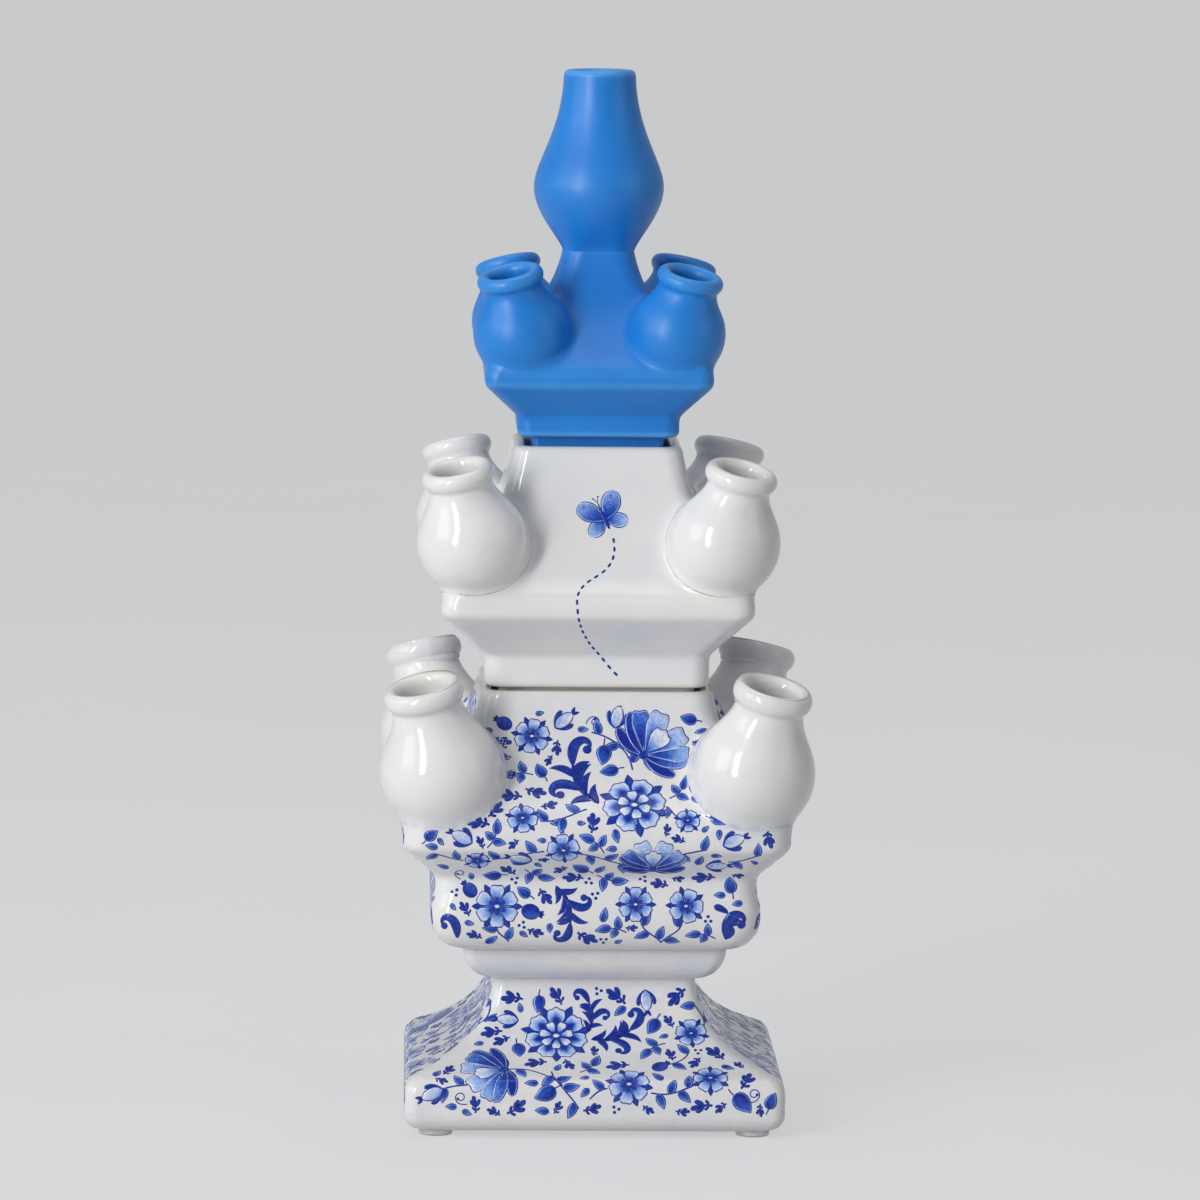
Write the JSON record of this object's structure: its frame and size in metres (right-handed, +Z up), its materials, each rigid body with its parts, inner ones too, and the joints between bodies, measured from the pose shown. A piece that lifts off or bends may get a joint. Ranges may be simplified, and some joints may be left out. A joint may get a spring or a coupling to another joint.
{
  "type": "tulipiere",
  "caption": "Stacking square tulip vase with pot-shaped flower nozzles at the corners of each tier and a gourd neck on top; the upper tiers lift off on square plugs.",
  "frame": {"origin": "on the table, under the middle of the foot", "axes": "+Z up along the axis of the stack, front towards -Y, +X to the right seen from the front"},
  "size_m": [0.1604, 0.1604, 0.39],
  "materials": {
    "printed_glaze": "glossy white glaze with cobalt floral print",
    "white_glaze": "glossy white glaze",
    "blue_glaze": "satin blue glaze",
    "clear_rubber": "clear bumper"
  },
  "bodies": {
    "lower_tier": {"lower_foot": "printed_glaze", "lower_body": "printed_glaze", "lower_nozzle_front_left": "white_glaze", "lower_nozzle_front_right": "white_glaze", "lower_nozzle_back_left": "white_glaze", "lower_nozzle_back_right": "white_glaze", "pad_front_left": "clear_rubber", "pad_front_right": "clear_rubber", "pad_back_left": "clear_rubber", "pad_back_right": "clear_rubber"},
    "middle_tier": {"middle_body": "white_glaze", "middle_nozzle_front_left": "white_glaze", "middle_nozzle_front_right": "white_glaze", "middle_nozzle_back_left": "white_glaze", "middle_nozzle_back_right": "white_glaze"},
    "top_tier": {"top_body": "blue_glaze", "top_nozzle_front_left": "blue_glaze", "top_nozzle_front_right": "blue_glaze", "top_nozzle_back_left": "blue_glaze", "top_nozzle_back_right": "blue_glaze", "top_bulb": "blue_glaze"}
  },
  "joints": [
    {"name": "middle_lift", "type": "slide", "parent": "lower_tier", "child": "middle_tier", "axis": [0, 0, 1], "range_m": [0, 0.06]},
    {"name": "top_lift", "type": "slide", "parent": "middle_tier", "child": "top_tier", "axis": [0, 0, 1], "range_m": [0, 0.06]}
  ]
}
